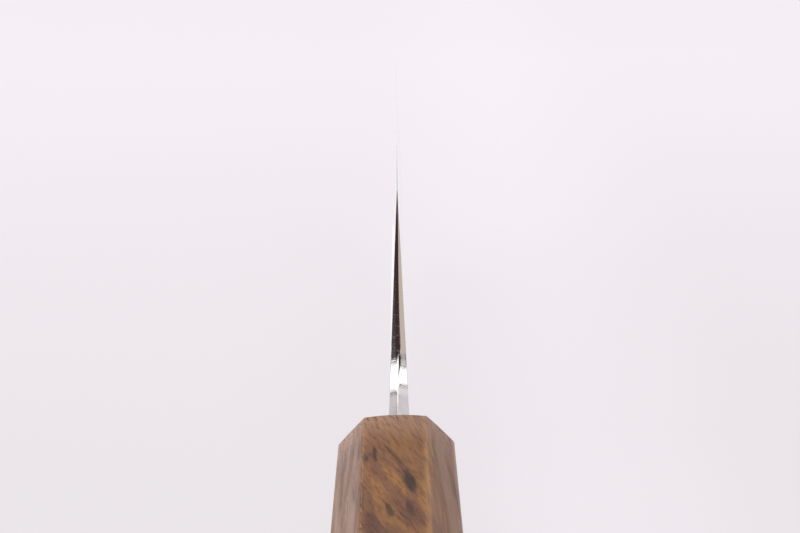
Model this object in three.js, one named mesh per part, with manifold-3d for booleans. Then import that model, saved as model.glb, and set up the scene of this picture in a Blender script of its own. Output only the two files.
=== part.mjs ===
// A bunka: an all-purpose kitchen knife with an angled tip and an octagonal wooden handle.
// It stands on its spine with the edge up. Along x it runs from the butt to the tip, y goes across
// the blade and z rises from the spine to the edge. Lengths are in millimetres, angles in degrees.
// The blade is a three-layer laminate: a hard core that forms the edge, between two softer layers.
// Its tang is bedded in the handle with resin.
import * as THREE from "three";
import { mergeVertices } from "three/addons/utils/BufferGeometryUtils.js";
import Module from "manifold-3d";

// Handle: an octagon that narrows from the butt to the front, with its spine-side flat level.
const handleLength = 130;
const handleFrontWidth = 18;
const handleFrontHeight = 22;
const handleButtWidth = 20;
const handleButtHeight = 24.5;
const cornerWidth = 4.2; // how far each slanted corner reaches across, at the front
const cornerHeight = 4.4; // how far it reaches down, at the front
const frontEase = 0.5; // small slant around the front face
const buttEase = 1.2; // small slant around the butt

// Blade outline.
const neckLength = 24; // from the handle to the heel
const bladeLength = 170; // from the heel to the tip
const edgeHeight = 52; // the edge at the heel, above the handle's spine-side flat
const spineInset = 3.6; // the spine at the handle, above the same flat
const spineRise = 4; // how much nearer to the edge the spine is where it turns to the tip
const tipCutLength = 48; // the slanted line from the spine to the tip, measured along x
const tipCutBow = 0.7; // how far that line bows out
const tipDrop = 11; // how far the tip lies below the edge at the heel
const edgeFlat = 25; // straight edge ahead of the heel
const bellyPower = 2.2; // how late the edge curves away
const neckHeight = 13; // the neck at the handle, from the spine to the underside
const neckSlope = 8; // how the underside climbs from the handle to the heel
const choilRadius = 8; // round between the neck's underside and the heel

// Blade thickness.
const spineThickness = 3.5; // at the handle
const angleThickness = 1.8; // spine where it turns to the tip
const tipThickness = 0.9; // flat left at the tip, which the bevels grind away
const heelBevel = 2.55; // bevel on each side at the heel
const tipBevel = 1.9; // bevel on each side at the tip
const bevelBlend = 0.3; // thickness over which the bevel rounds into the flat
const coreThickness = 1; // hard core at the handle, thinning with the blade
const sharpHeight = 0.3; // sharpened strip along the edge
const sharpThickness = 0.12; // blade just behind that strip
const backSlant = 14; // slant of the two facets on spine, choil and neck

// Tang and its bedding.
const tangEndHeight = 5;
const tangEndThickness = 2;
const boreBackWall = 28; // solid wood behind the bore
const resinPlug = 6; // resin past the tang's end
const resinWall = 0.5; // resin around the tang
const bondGap = 0.3; // between steel, resin and wood

// How finely the curved forms are divided.
const tangSteps = 4;
const neckSteps = 4;
const choilSteps = 9;
const bladeSteps = 16;
const tipSteps = 10;
const spineRows = 7;
const bevelRows = 4;

const { tan, cos, sin, min, max, abs } = Math;
const radians = THREE.MathUtils.degToRad;
const mix = THREE.MathUtils.lerp;
const smooth = THREE.MathUtils.smoothstep;

const bondSpace = resinWall + 2 * bondGap;
const tangLength = handleLength - boreBackWall - resinPlug - bondGap;
const tipX = neckLength + bladeLength;
const tipZ = edgeHeight - tipDrop;
const angleX = tipX - tipCutLength;
const angleZ = spineInset + spineRise;

// The handle's height and width at a distance behind its front face.
const handleHeight = (back) => mix(handleFrontHeight, handleButtHeight, back / handleLength);
const handleWidth = (back) => mix(handleFrontWidth, handleButtWidth, back / handleLength);
const tangEndMiddle = handleHeight(tangLength) / 2;

// Spine side of the tang, the blade and the slanted tip.
function spineZ(x) {
  if (x < 0) return mix(spineInset, tangEndMiddle - tangEndHeight / 2, -x / tangLength);
  if (x < angleX) return spineInset + spineRise * (x / angleX) ** 2;
  const t = (x - angleX) / tipCutLength;
  return mix(angleZ, tipZ, t) - 4 * tipCutBow * t * (1 - t);
}

// Cutting edge: straight ahead of the heel, then curving away to the tip.
function edgeZ(x) {
  const t = THREE.MathUtils.clamp((x - neckLength - edgeFlat) / (bladeLength - edgeFlat), 0, 1);
  return edgeHeight - tipDrop * t ** bellyPower;
}

// Underside of the tang and the neck, as far as the round of the choil.
function undersideZ(x) {
  const neckZ = spineInset + neckHeight;
  if (x < 0) return mix(neckZ, tangEndMiddle + tangEndHeight / 2, -x / tangLength);
  return neckZ + tan(radians(neckSlope)) * x;
}

// The choil's arc touches the neck's underside and the upright line of the heel.
const choilX = neckLength - choilRadius;
const choilZ = undersideZ(choilX) + choilRadius / cos(radians(neckSlope));
// Share of the blade's height, from the edge, at which the heel's upright line ends.
const heelShare = (edgeHeight - choilZ) / (edgeHeight - spineZ(neckLength));

// Half of the spine's thickness before the bevels reach it.
function flatHalf(x) {
  if (x < 0) return mix(spineThickness, tangEndThickness, -x / tangLength) / 2;
  if (x < angleX) return mix(spineThickness, angleThickness, x / angleX) / 2;
  return mix(angleThickness, tipThickness, (x - angleX) / tipCutLength) / 2;
}

const bladeShare = (x) => THREE.MathUtils.clamp((x - neckLength) / bladeLength, 0, 1);
const bevelSlope = (x) => tan(radians(mix(heelBevel, tipBevel, bladeShare(x))));
// The sharpened strip shrinks over the last stretch, where the blade runs out.
const tipFade = (x) => min(1, (edgeZ(x) - spineZ(x)) / (2 * tipDrop));
const stripHeight = (x) => sharpHeight * tipFade(x);
const stripHalf = (x) => (sharpThickness / 2) * tipFade(x);

// The smaller of two values, rounded where they meet.
function softMin(a, b, width) {
  const near = max(width - abs(a - b), 0) / width;
  return min(a, b) - (near * near * width) / 4;
}

// Half of the blade's thickness at a depth below the edge: strip, bevel, then flat.
function bladeHalf(x, depth) {
  const strip = stripHeight(x);
  if (depth <= strip) return strip > 0 ? (stripHalf(x) * depth) / strip : 0;
  const bevel = stripHalf(x) + bevelSlope(x) * (depth - strip);
  return softMin(bevel, flatHalf(x), bevelBlend);
}

// The bevel fades out along the neck, so that the tang has level sides.
function halfThickness(x, z) {
  if (x <= 0) return flatHalf(x);
  const half = bladeHalf(x, edgeZ(x) - z);
  return mix(flatHalf(x), half, smooth(x, neckLength / 4, neckLength));
}

const coreHalf = (x) => {
  const widest = x < neckLength ? flatHalf(x) : halfThickness(x, spineZ(x));
  return (widest * coreThickness) / spineThickness;
};
// Depth below the edge at which the bevel leaves the core and enters the outer layers.
const coreDepth = (x) => stripHeight(x) + (coreHalf(x) - stripHalf(x)) / bevelSlope(x);

// The two facets on spine, choil and neck start at the handle and leave the tang square.
const facetSlope = (x) => tan(radians(backSlant)) * smooth(x, 0, choilX);

// A point of the blade's side view, with the half-thicknesses there. On the outline it also has the
// outward direction in which the facets rise.
function profilePoint(x, z, outward = null, half = halfThickness(x, z)) {
  return { x, z, outward, half, core: min(coreHalf(x), half) };
}

// The point at a distance y from the middle plane.
function atLevel(point, y) {
  if (!point.outward) return new THREE.Vector3(point.x, y, point.z);
  const rise = facetSlope(point.x) * max(point.half - abs(y), 0);
  return new THREE.Vector3(
    point.x + point.outward.x * rise,
    y,
    point.z + point.outward.y * rise,
  );
}

// Evenly spaced values, both ends included.
const spread = (from, to, steps) =>
  Array.from({ length: steps + 1 }, (_, i) => mix(from, to, i / steps));

// Outward direction on the spine, square to it.
function spineOutward(x) {
  const step = 0.01;
  return new THREE.Vector2(spineZ(x + step) - spineZ(x - step), -2 * step).normalize();
}

// Stations along the blade, each with the point where its column starts on the edge side.
const tangStations = spread(-tangLength, 0, tangSteps).map((x) => ({ x, z: undersideZ(x) }));
const neckTilt = radians(neckSlope);
const arcStations = spread(neckTilt, Math.PI / 2, choilSteps).map((turn) => ({
  x: choilX + choilRadius * sin(turn),
  z: choilZ - choilRadius * cos(turn),
  outward: new THREE.Vector2(-sin(turn), cos(turn)),
}));
const neckStations = spread(0, arcStations[0].x, neckSteps)
  .slice(1, -1)
  .map((x) => ({ x, z: undersideZ(x), outward: arcStations[0].outward }));
const heelBack = new THREE.Vector2(-1, 0);
const bladeX = [...spread(neckLength, angleX, bladeSteps), ...spread(angleX, tipX, tipSteps).slice(1)];
const bladeStations = bladeX.map((x, i) => ({
  x,
  z: mix(edgeZ(x), spineZ(x), heelShare),
  outward: i === 0 ? heelBack : null,
}));
const spineStations = [...tangStations, ...neckStations, ...arcStations.slice(0, -1), ...bladeStations];

// Points between the underside, or the heel's line carried forward, and the spine.
const spineBand = spineStations.map((station) =>
  spread(0, 1, spineRows).map((share) => {
    const z = mix(station.z, spineZ(station.x), share);
    const onSpine = share === 1 ? spineOutward(station.x) : null;
    return profilePoint(station.x, z, share === 0 ? station.outward ?? null : onSpine);
  }),
);

// Points from the edge to that line, ahead of the heel.
const edgeBand = bladeX.map((x, i) => {
  const outward = i === 0 ? heelBack : null;
  const edge = edgeZ(x);
  const bottom = mix(edge, spineZ(x), heelShare);
  const seam = edge - coreDepth(x);
  return [
    profilePoint(x, edge, null, 0),
    profilePoint(x, edge - stripHeight(x), outward, stripHalf(x)),
    profilePoint(x, seam, outward, coreHalf(x)),
    ...spread(seam, bottom, bevelRows)
      .slice(1)
      .map((z) => profilePoint(x, z, outward)),
  ];
});
const seamRow = 2; // where the outer layers start

// Collects the triangles of one closed body and leaves out those with no area.
class Facets {
  constructor() {
    this.positions = [];
  }

  triangle(a, b, c) {
    const tiny = 1e-4;
    if (a.distanceTo(b) < tiny || b.distanceTo(c) < tiny || c.distanceTo(a) < tiny) return;
    for (const corner of [a, b, c]) this.positions.push(corner.x, corner.y, corner.z);
  }

  // Two rows of points, joined by a strip.
  strip(first, second) {
    for (let i = 0; i + 1 < first.length; i++) {
      this.triangle(first[i], second[i], second[i + 1]);
      this.triangle(first[i], second[i + 1], first[i + 1]);
    }
  }

  // A grid of points, or the same grid seen from behind.
  sheet(columns, fromBehind = false) {
    for (let i = 0; i + 1 < columns.length; i++) {
      if (fromBehind) this.strip(columns[i + 1], columns[i]);
      else this.strip(columns[i], columns[i + 1]);
    }
  }

  geometry() {
    const geometry = new THREE.BufferGeometry();
    geometry.setAttribute("position", new THREE.Float32BufferAttribute(this.positions, 3));
    geometry.computeVertexNormals();
    return geometry;
  }
}

// The outline, walked from the tip along the spine, round the tang and up the choil to the edge.
const spineLine = spineBand.map((column) => column.at(-1)).reverse();
const tangEndLine = [...spineBand[0]].reverse();
const undersideLine = spineBand
  .slice(0, spineBand.length - bladeStations.length + 1)
  .map((column) => column[0]);
const choilLine = (fromRow) => edgeBand[0].slice(fromRow).reverse();

// One layer of the laminate, between two or three levels across the blade, the highest first.
// Rows nearer to the edge than fromRow aren't part of it.
function layer(levels, fromRow) {
  const facets = new Facets();
  const bands = [spineBand, edgeBand.map((column) => column.slice(fromRow))];
  const raise = (columns, level) => columns.map((column) => column.map((p) => atLevel(p, level(p))));
  for (const band of bands) {
    facets.sheet(raise(band, levels[0]));
    facets.sheet(raise(band, levels.at(-1)), true);
  }
  for (const line of [spineLine, tangEndLine, undersideLine, choilLine(fromRow)]) {
    for (let i = 0; i + 1 < levels.length; i++) {
      const [upper, lower] = [levels[i], levels[i + 1]];
      facets.strip(
        line.map((p) => atLevel(p, upper(p))),
        line.map((p) => atLevel(p, lower(p))),
      );
    }
  }
  return facets.geometry();
}

const coreGeometry = () => layer([(p) => p.core, () => 0, (p) => -p.core], 0);
const leftCladdingGeometry = () => layer([(p) => p.half, (p) => p.core], seamRow);
const rightCladdingGeometry = () => layer([(p) => -p.core, (p) => -p.half], seamRow);

// A closed body through sections with the same number of corners, from the first to the last.
function loft(sections) {
  const facets = new Facets();
  const closed = sections.map((section) => [...section, section[0]]);
  facets.sheet(closed);
  const cap = (section, reversed) => {
    for (let i = 1; i + 1 < section.length; i++) {
      if (reversed) facets.triangle(section[0], section[i + 1], section[i]);
      else facets.triangle(section[0], section[i], section[i + 1]);
    }
  };
  cap(sections[0], false);
  cap(sections.at(-1), true);
  return facets.geometry();
}

// The handle's octagon at a distance behind its front, drawn in on all sides by inset.
function handleSection(back, inset) {
  const grown = handleWidth(back) / handleFrontWidth;
  const width = handleWidth(back) / 2 - inset;
  const low = inset;
  const high = handleHeight(back) - inset;
  const drawnIn = 1 - (inset * (2 - Math.SQRT2)) / cornerWidth;
  const across = cornerWidth * grown * drawnIn;
  const down = cornerHeight * grown * drawnIn;
  const corners = [
    [width, low + down],
    [width, high - down],
    [width - across, high],
    [across - width, high],
    [-width, high - down],
    [-width, low + down],
    [across - width, low],
    [width - across, low],
  ];
  return corners.map(([y, z]) => new THREE.Vector3(-back, y, z));
}

// The tang's rectangle at x, grown by a margin all round.
function tangSection(x, margin) {
  const half = flatHalf(x) + margin;
  const low = spineZ(x) - margin;
  const high = undersideZ(x) + margin;
  return [
    new THREE.Vector3(x, half, low),
    new THREE.Vector3(x, half, high),
    new THREE.Vector3(x, -half, high),
    new THREE.Vector3(x, -half, low),
  ];
}

// Sections round the tang with a margin all round, from the place called front to one past its end.
function tangSections(front, beyond, margin) {
  const along = spread(min(front, 0), -tangLength, tangSteps).map((x) => tangSection(x, margin));
  const mouth = along[0].map((corner) => corner.clone().setX(front));
  const bottom = along.at(-1).map((corner) => corner.clone().setX(-tangLength - beyond));
  return front > 0 ? [mouth, ...along, bottom] : [...along, bottom];
}

const wasm = await Module();
wasm.setup();

function toSolid(geometry) {
  const bare = new THREE.BufferGeometry().setAttribute("position", geometry.getAttribute("position"));
  const merged = mergeVertices(bare, 1e-4);
  const vertProperties = merged.getAttribute("position").array;
  return new wasm.Manifold(
    new wasm.Mesh({ numProp: 3, vertProperties, triVerts: new Uint32Array(merged.index.array) }),
  );
}

function toGeometry(solid) {
  const { vertProperties, triVerts } = solid.getMesh();
  const indexed = new THREE.BufferGeometry();
  indexed.setAttribute("position", new THREE.Float32BufferAttribute(vertProperties, 3));
  indexed.setIndex(new THREE.Uint32BufferAttribute(triVerts, 1));
  const geometry = indexed.toNonIndexed();
  geometry.computeVertexNormals();
  return geometry;
}

// The handle, with its bore open at the front.
function handleGeometry() {
  const block = loft([
    handleSection(0, frontEase),
    handleSection(frontEase, 0),
    handleSection(handleLength - buttEase, 0),
    handleSection(handleLength, buttEase),
  ]);
  const bore = loft(tangSections(neckLength, resinPlug + bondGap, bondSpace));
  return toGeometry(toSolid(block).subtract(toSolid(bore)));
}

// Set resin between the tang and the bore: a sleeve with a plug behind the tang's end. Its sections
// go from the sleeve's bottom out along the inside, over the rim and back along the outside.
function resinGeometry() {
  const inside = tangSections(-bondGap, bondGap, bondGap);
  const outside = tangSections(-bondGap, resinPlug, bondGap + resinWall);
  return loft([...inside.reverse(), ...outside]);
}

const material = (color, roughness, metalness) =>
  new THREE.MeshStandardMaterial({ color, roughness, metalness });

function piece(name, geometry, look) {
  const mesh = new THREE.Mesh(geometry, look);
  mesh.name = name;
  return mesh;
}

const claddingSteel = material(0xb9b6b4, 0.32, 1);
const knife = new THREE.Group();
knife.add(
  piece("core_steel", coreGeometry(), material(0xcfcdcb, 0.2, 1)),
  piece("left_cladding", leftCladdingGeometry(), claddingSteel),
  piece("right_cladding", rightCladdingGeometry(), claddingSteel.clone()),
  piece("handle", handleGeometry(), material(0x85604a, 0.5, 0)),
  piece("tang_resin", resinGeometry(), material(0x3a2f26, 0.6, 0)),
);

// The origin lies under the middle of the whole length.
knife.position.x = (handleLength - tipX) / 2;

const assembly = new THREE.Group();
assembly.add(knife);
export default assembly;
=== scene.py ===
import math

import bmesh
import bpy
import numpy as np
from mathutils import Matrix, Vector


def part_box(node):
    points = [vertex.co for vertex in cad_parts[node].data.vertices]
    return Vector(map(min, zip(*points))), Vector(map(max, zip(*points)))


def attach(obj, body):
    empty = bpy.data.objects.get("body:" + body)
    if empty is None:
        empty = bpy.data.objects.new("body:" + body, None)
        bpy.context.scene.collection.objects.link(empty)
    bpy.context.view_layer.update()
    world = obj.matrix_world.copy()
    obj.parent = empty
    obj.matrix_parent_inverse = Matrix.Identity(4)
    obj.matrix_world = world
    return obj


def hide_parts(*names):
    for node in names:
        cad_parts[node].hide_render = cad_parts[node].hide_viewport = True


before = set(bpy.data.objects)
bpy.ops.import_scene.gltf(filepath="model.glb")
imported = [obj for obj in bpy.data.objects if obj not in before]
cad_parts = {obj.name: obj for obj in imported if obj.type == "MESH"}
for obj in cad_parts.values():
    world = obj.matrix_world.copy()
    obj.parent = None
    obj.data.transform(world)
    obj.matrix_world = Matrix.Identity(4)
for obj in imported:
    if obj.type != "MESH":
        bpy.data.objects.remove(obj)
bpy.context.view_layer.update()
mm = 0.001
mergeStep = 2e-4  # millimetres, points on the same step become one

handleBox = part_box("handle")
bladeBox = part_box("core_steel")
frontX = handleBox[1].x  # the handle's front face
print("frame loaded, the handle's front is at", round(frontX, 4))


# turns millimetres counted from the handle's front face into the frame's metres
def placed(points):
    return points * mm + np.array([frontX, 0.0, 0.0])


# the four corners of each cell of a grid, as numbers of points counted row by row
def gridQuads(rows, columns, start=0):
    index = np.arange(rows * columns).reshape(rows, columns) + start
    corners = [index[:-1, :-1], index[:-1, 1:], index[1:, 1:], index[1:, :-1]]
    return np.stack([c.ravel() for c in corners], axis=1)


# one mesh from several grids: neighbouring grid points make quads, points that coincide are merged
# and quads that lost a corner become triangles
def meshFromGrids(name, grids, materials, attributes=None, sharpAngle=24):
    points, quads, slots, start = [], [], [], 0
    for grid, slot in grids:
        rows, columns = grid.shape[:2]
        quads.append(gridQuads(rows, columns, start))
        slots.append(np.full(len(quads[-1]), slot))
        points.append(grid.reshape(-1, 3))
        start += rows * columns
    points = np.concatenate(points)
    keys = np.round(points / mergeStep).astype(np.int64)
    _, first, same = np.unique(keys, axis=0, return_index=True, return_inverse=True)
    quads = same.ravel()[np.concatenate(quads)]
    slots = np.concatenate(slots)
    repeats = quads == np.roll(quads, 1, axis=1)
    crossed = (quads[:, 0] == quads[:, 2]) | (quads[:, 1] == quads[:, 3])
    full = (repeats.sum(axis=1) == 0) & ~crossed
    lost = (repeats.sum(axis=1) == 1) & ~crossed
    threes = quads[lost][~repeats[lost]].reshape(-1, 3)
    mesh = bpy.data.meshes.new(name)
    mesh.from_pydata(placed(points[first]).tolist(), [], quads[full].tolist() + threes.tolist())
    for material in materials:
        mesh.materials.append(material)
    slots = np.concatenate([slots[full], slots[lost]])
    mesh.polygons.foreach_set("material_index", slots.astype(np.int32))
    for label, values in (attributes or {}).items():
        layer = mesh.attributes.new(label, "FLOAT", "POINT")
        layer.data.foreach_set("value", np.concatenate(values)[first].astype(np.float32))
    mesh.update()
    facesOutward(mesh)
    mesh.shade_smooth()
    mesh.set_sharp_from_angle(angle=math.radians(sharpAngle))
    piece = bpy.data.objects.new(name, mesh)
    bpy.context.scene.collection.objects.link(piece)
    return piece


# all faces of a closed mesh are turned outward
def facesOutward(mesh):
    work = bmesh.new()
    work.from_mesh(mesh)
    bmesh.ops.recalc_face_normals(work, faces=work.faces)
    work.to_mesh(mesh)
    work.free()


# sockets are named in words, or by i and a number: outputs are linked, other values are set
def setSockets(tree, node, **sockets):
    for label, value in sockets.items():
        numbered = label[0] == "i" and label[1:].isdigit()
        socket = node.inputs[int(label[1:]) if numbered else label.replace("_", " ")]
        if isinstance(value, bpy.types.NodeSocket):
            tree.links.new(value, socket)
        else:
            socket.default_value = value


def addNode(tree, kind, settings=None, **sockets):
    made = tree.nodes.new(kind)
    for label, value in (settings or {}).items():
        setattr(made, label, value)
    setSockets(tree, made, **sockets)
    return made


# a material with its nodes and its main shader
def newMaterial(name):
    material = bpy.data.materials.new(name)
    material.use_nodes = True
    tree = material.node_tree
    return material, tree, tree.nodes["Principled BSDF"]


def maths(tree, operation, first, second=0.0, third=0.0):
    chosen = {"operation": operation}
    return addNode(tree, "ShaderNodeMath", chosen, i0=first, i1=second, i2=third).outputs[0]


def times(tree, first, second):
    return maths(tree, "MULTIPLY", first, second)


def vectorMaths(tree, operation, *values):
    sockets = {f"i{number}": value for number, value in enumerate(values)}
    return addNode(tree, "ShaderNodeVectorMath", {"operation": operation}, **sockets).outputs


# 0 below low, 1 above high and a smooth rise between
def rise(tree, value, low, high):
    smooth = {"interpolation_type": "SMOOTHSTEP"}
    made = addNode(tree, "ShaderNodeMapRange", smooth, Value=value, From_Min=low, From_Max=high)
    return made.outputs[0]


def mixValue(tree, share, first, second):
    return addNode(tree, "ShaderNodeMix", i0=share, i2=first, i3=second).outputs[0]


# a plain colour gets its alpha, a linked one stays as it is
def opaque(colour):
    return (*colour, 1) if isinstance(colour, tuple) else colour


def mixColour(tree, share, first, second):
    colours = {"i6": opaque(first), "i7": opaque(second)}
    return addNode(tree, "ShaderNodeMix", {"data_type": "RGBA"}, i0=share, **colours).outputs[2]


def attribute(tree, name):
    return addNode(tree, "ShaderNodeAttribute", {"attribute_name": name}).outputs


def relief(tree, height, strength, depth):
    made = addNode(tree, "ShaderNodeBump", Strength=strength, Distance=depth, Height=height)
    return made.outputs[0]


# the surface's place in millimetres, turned
def placeOnPiece(tree, turn=(0, 0, 0)):
    made = addNode(tree, "ShaderNodeMapping", Scale=(1 / mm, 1 / mm, 1 / mm))
    coordinates = addNode(tree, "ShaderNodeTexCoord").outputs["Object"]
    setSockets(tree, made, Vector=coordinates, Rotation=[math.radians(a) for a in turn])
    return made.outputs[0]


# the surface's x, y and z in metres
def splitPlace(tree):
    coordinates = addNode(tree, "ShaderNodeTexCoord").outputs["Object"]
    return addNode(tree, "ShaderNodeSeparateXYZ", i0=coordinates).outputs


# noise with about so many grains a millimetre along x, y and z
def noise(tree, place, grains, detail=2.0, roughness=0.5):
    scaled = addNode(tree, "ShaderNodeMapping", Vector=place, Scale=grains).outputs[0]
    made = addNode(tree, "ShaderNodeTexNoise", Vector=scaled, Scale=1.0)
    setSockets(tree, made, Detail=detail, Roughness=roughness)
    return made.outputs["Fac"]


# Blade: the same outline and thicknesses as the solids, in millimetres from the handle's front
bladeForm = {
    "neckLength": 24,
    "bladeLength": (bladeBox[1].x - frontX) / mm - 24,
    "edgeHeight": bladeBox[1].z / mm,
    "spineInset": 3.6,
    "spineRise": 4,
    "tipCutLength": 48,
    "tipCutBow": 0.7,
    "tipDrop": 11,
    "edgeFlat": 25,
    "bellyPower": 2.2,
    "neckHeight": 13,
    "neckSlope": 8,
    "choilRadius": 8,
    "spineThickness": 3.5,
    "angleThickness": 1.8,
    "tipThickness": 0.9,
    "heelBevel": 2.55,
    "tipBevel": 1.9,
    "bevelBlend": 0.3,
    "coreThickness": 1,
    "coreLimit": 0.93,  # its largest share, so that the outer layers reach the tip
    "sharpHeight": 0.3,
    "sharpThickness": 0.12,
    "backSlant": 14,  # the two facets on spine, choil and neck
    "neckRidge": 0.15,  # the ridge between them wanders, as shares of the half thickness
    "choilRidge": -0.25,
    "heelRidge": -0.12,
    "edgeRidge": -0.8,  # added at the heel, fading down the choil
    "ridgeSoftness": 0.11,
    "ridgeWorn": ((0.2, 0.88, 0.06), (0.07, 0.6, 0.16)),  # softer: amount, place on arc, width
    "wornShift": 0.8,  # and as much of it off to the right
    "wornEnd": 0.04,  # share of the arc in which this fades before the choil
    "ridgeCurve": 2.2,  # power by which the ridge wanders along the arc
    "edgeRound": 0.13,  # the outer edges of spine and choil are eased
    "roundLimit": 0.35,  # at most this share of an outer layer
    "seamWaves": ((0.09, 23.0, 0.4), (0.06, 9.7, 1.9), (0.035, 4.1, 0.7)),  # share, length, start
    "seamCalm": (-4, 8),  # the waves set in between these distances from the heel
    "tangLength": -(bladeBox[0].x - frontX) / mm,
    "tangEndHeight": 5,
    "tangEndThickness": 2,
}
b = bladeForm
tipX = b["neckLength"] + b["bladeLength"]
tipZ = b["edgeHeight"] - b["tipDrop"]
angleX = tipX - b["tipCutLength"]
angleZ = b["spineInset"] + b["spineRise"]
handleLength = (handleBox[1].x - handleBox[0].x) / mm
frontHeight, buttHeight = 22, handleBox[1].z / mm
tangEndMiddle = np.interp(b["tangLength"], [0, handleLength], [frontHeight, buttHeight]) / 2


# 0 up to low, 1 from high on, three t squared less two t cubed between
def smoothRise(x, low, high):
    t = np.clip((x - low) / (high - low), 0, 1)
    return t * t * (3 - 2 * t)


# spine: a line along the tang, a slight curve along the blade, a bowed line down to the tip
def spineLine(x):
    tang = tangEndMiddle - b["tangEndHeight"] / 2
    behind = np.interp(x, [-b["tangLength"], 0], [tang, b["spineInset"]])
    along = b["spineInset"] + b["spineRise"] * (np.maximum(x, 0) / angleX) ** 2
    t = (x - angleX) / b["tipCutLength"]
    cut = angleZ + (tipZ - angleZ) * t - 4 * b["tipCutBow"] * t * (1 - t)
    return np.where(x < 0, behind, np.where(x < angleX, along, cut))


# edge: straight ahead of the heel, then a power curve to the tip
def edgeLine(x):
    t = np.clip((x - b["neckLength"] - b["edgeFlat"]) / (b["bladeLength"] - b["edgeFlat"]), 0, 1)
    return b["edgeHeight"] - b["tipDrop"] * t ** b["bellyPower"]


# underside: a line along the tang, a line climbing along the neck
def undersideLine(x):
    neck = b["spineInset"] + b["neckHeight"]
    tang = tangEndMiddle + b["tangEndHeight"] / 2
    behind = np.interp(x, [-b["tangLength"], 0], [tang, neck])
    return np.where(x < 0, behind, neck + math.tan(math.radians(b["neckSlope"])) * x)


# half thickness of the flat sides: straight from tang's end to handle, spine's angle and tip
def flatHalf(x):
    places = [-b["tangLength"], 0, angleX, tipX]
    sizes = [b["tangEndThickness"], b["spineThickness"], b["angleThickness"], b["tipThickness"]]
    return np.interp(x, places, sizes) / 2


# tangent of the bevel's angle, which changes evenly from heel to tip
def bevelSlope(x):
    ends = [b["neckLength"], tipX]
    return np.tan(np.radians(np.interp(x, ends, [b["heelBevel"], b["tipBevel"]])))


# 1 along the blade, falling to 0 at the tip as the blade's height does
def tipFade(x):
    return np.minimum(1, (edgeLine(x) - spineLine(x)) / (2 * b["tipDrop"]))


# the smaller of two values, rounded by a parabola where they are closer than the width
def softMin(first, second, width):
    near = np.maximum(width - np.abs(first - second), 0) / width
    return np.minimum(first, second) - near * near * width / 4


# half thickness at a depth below the edge: sharpened strip, straight bevel, then the flat
def bladeHalf(x, depth):
    strip = np.maximum(b["sharpHeight"] * tipFade(x), 1e-9)
    stripHalf = b["sharpThickness"] / 2 * tipFade(x)
    bevel = stripHalf + bevelSlope(x) * (depth - strip)
    above = softMin(bevel, flatHalf(x), b["bevelBlend"])
    return np.where(depth <= strip, stripHalf * depth / strip, above)


choilX = b["neckLength"] - b["choilRadius"]
choilZ = float(undersideLine(choilX)) + b["choilRadius"] / math.cos(math.radians(b["neckSlope"]))
heelShare = (b["edgeHeight"] - choilZ) / (b["edgeHeight"] - float(spineLine(b["neckLength"])))


# the bevel fades out along the neck, so the tang has level sides
def halfThickness(x, z):
    blade = bladeHalf(x, edgeLine(x) - z)
    share = smoothRise(x, b["neckLength"] / 4, b["neckLength"])
    return np.where(x <= 0, flatHalf(x), flatHalf(x) * (1 - share) + blade * share)


# the core keeps its share of the thickness, with slow waves that make the seam wander
def coreHalf(x):
    widest = np.where(x < b["neckLength"], flatHalf(x), halfThickness(x, spineLine(x)))
    waves = sum(a * np.sin(x * 2 * np.pi / length + start) for a, length, start in b["seamWaves"])
    calm = smoothRise(x, *(b["neckLength"] + distance for distance in b["seamCalm"]))
    return widest * b["coreThickness"] / b["spineThickness"] * (1 + waves * calm)


# depth below the edge at which the bevel is as thick as the core
def coreDepth(x):
    stripHalf = b["sharpThickness"] / 2 * tipFade(x)
    return b["sharpHeight"] * tipFade(x) + (coreHalf(x) - stripHalf) / bevelSlope(x)


# grid of the blade's side view with its half thicknesses and, on the outline, the outward direction
# and the facets
def bandOf(x, z, half=None):
    half = halfThickness(x, z) if half is None else half
    core = np.minimum(coreHalf(x), b["coreLimit"] * half)
    zero = np.zeros_like(x)
    onBlade = smoothRise(x, 0, choilX)  # the tang is plain
    slope = math.tan(math.radians(b["backSlant"])) * onBlade
    ease = np.minimum(b["edgeRound"] * onBlade, b["roundLimit"] * (half - core))
    return {"x": x, "z": z, "half": half, "core": core, "outX": zero, "outZ": zero.copy(),
            "slope": slope, "ease": ease, "ridge": zero.copy(), "soft": zero + b["ridgeSoftness"]}


# outward direction and place of the ridge, for the points on the outline
def setOutline(band, where, outX, outZ, ridge):
    band["outX"][where] = outX
    band["outZ"][where] = outZ
    band["ridge"][where] = ridge


# how far the outline rises at a distance y from the middle: two slanted facets with a soft ridge
def facetRise(band, y):
    share = np.divide(y, band["half"], out=np.zeros_like(band["half"]), where=band["half"] > 0)
    ridge = band["ridge"]
    away = np.where(share >= ridge, (share - ridge) / (1 - ridge), (ridge - share) / (1 + ridge))
    soft = band["soft"]
    away = (np.sqrt(away**2 + soft**2) - soft) / (np.sqrt(1 + soft**2) - soft)
    return band["slope"] * band["half"] * (1 - away)


# points at a distance y from the middle plane, moved outward by a height
def lifted(band, y, height):
    x, z = band["x"] + band["outX"] * height, band["z"] + band["outZ"] * height
    return np.stack([x, y, z], axis=-1)


# a place across the wall of the outline: share 0 is the core's face, 1 the outer face's eased edge
def wallLevel(band, side, share, turn=0.0):
    straight = band["core"] + (band["half"] - band["ease"] - band["core"]) * share
    y = side * (straight + band["ease"] * math.sin(turn))
    return lifted(band, y, facetRise(band, side * straight) - band["ease"] * (1 - math.cos(turn)))


# a place across the core's wall: share 1 is its left face and -1 its right
def coreLevel(band, share):
    y = band["core"] * share
    return lifted(band, y, facetRise(band, y))


# the same rows and columns of everything in a band
def part(band, *where):
    return {label: values[where] for label, values in band.items()}


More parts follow.
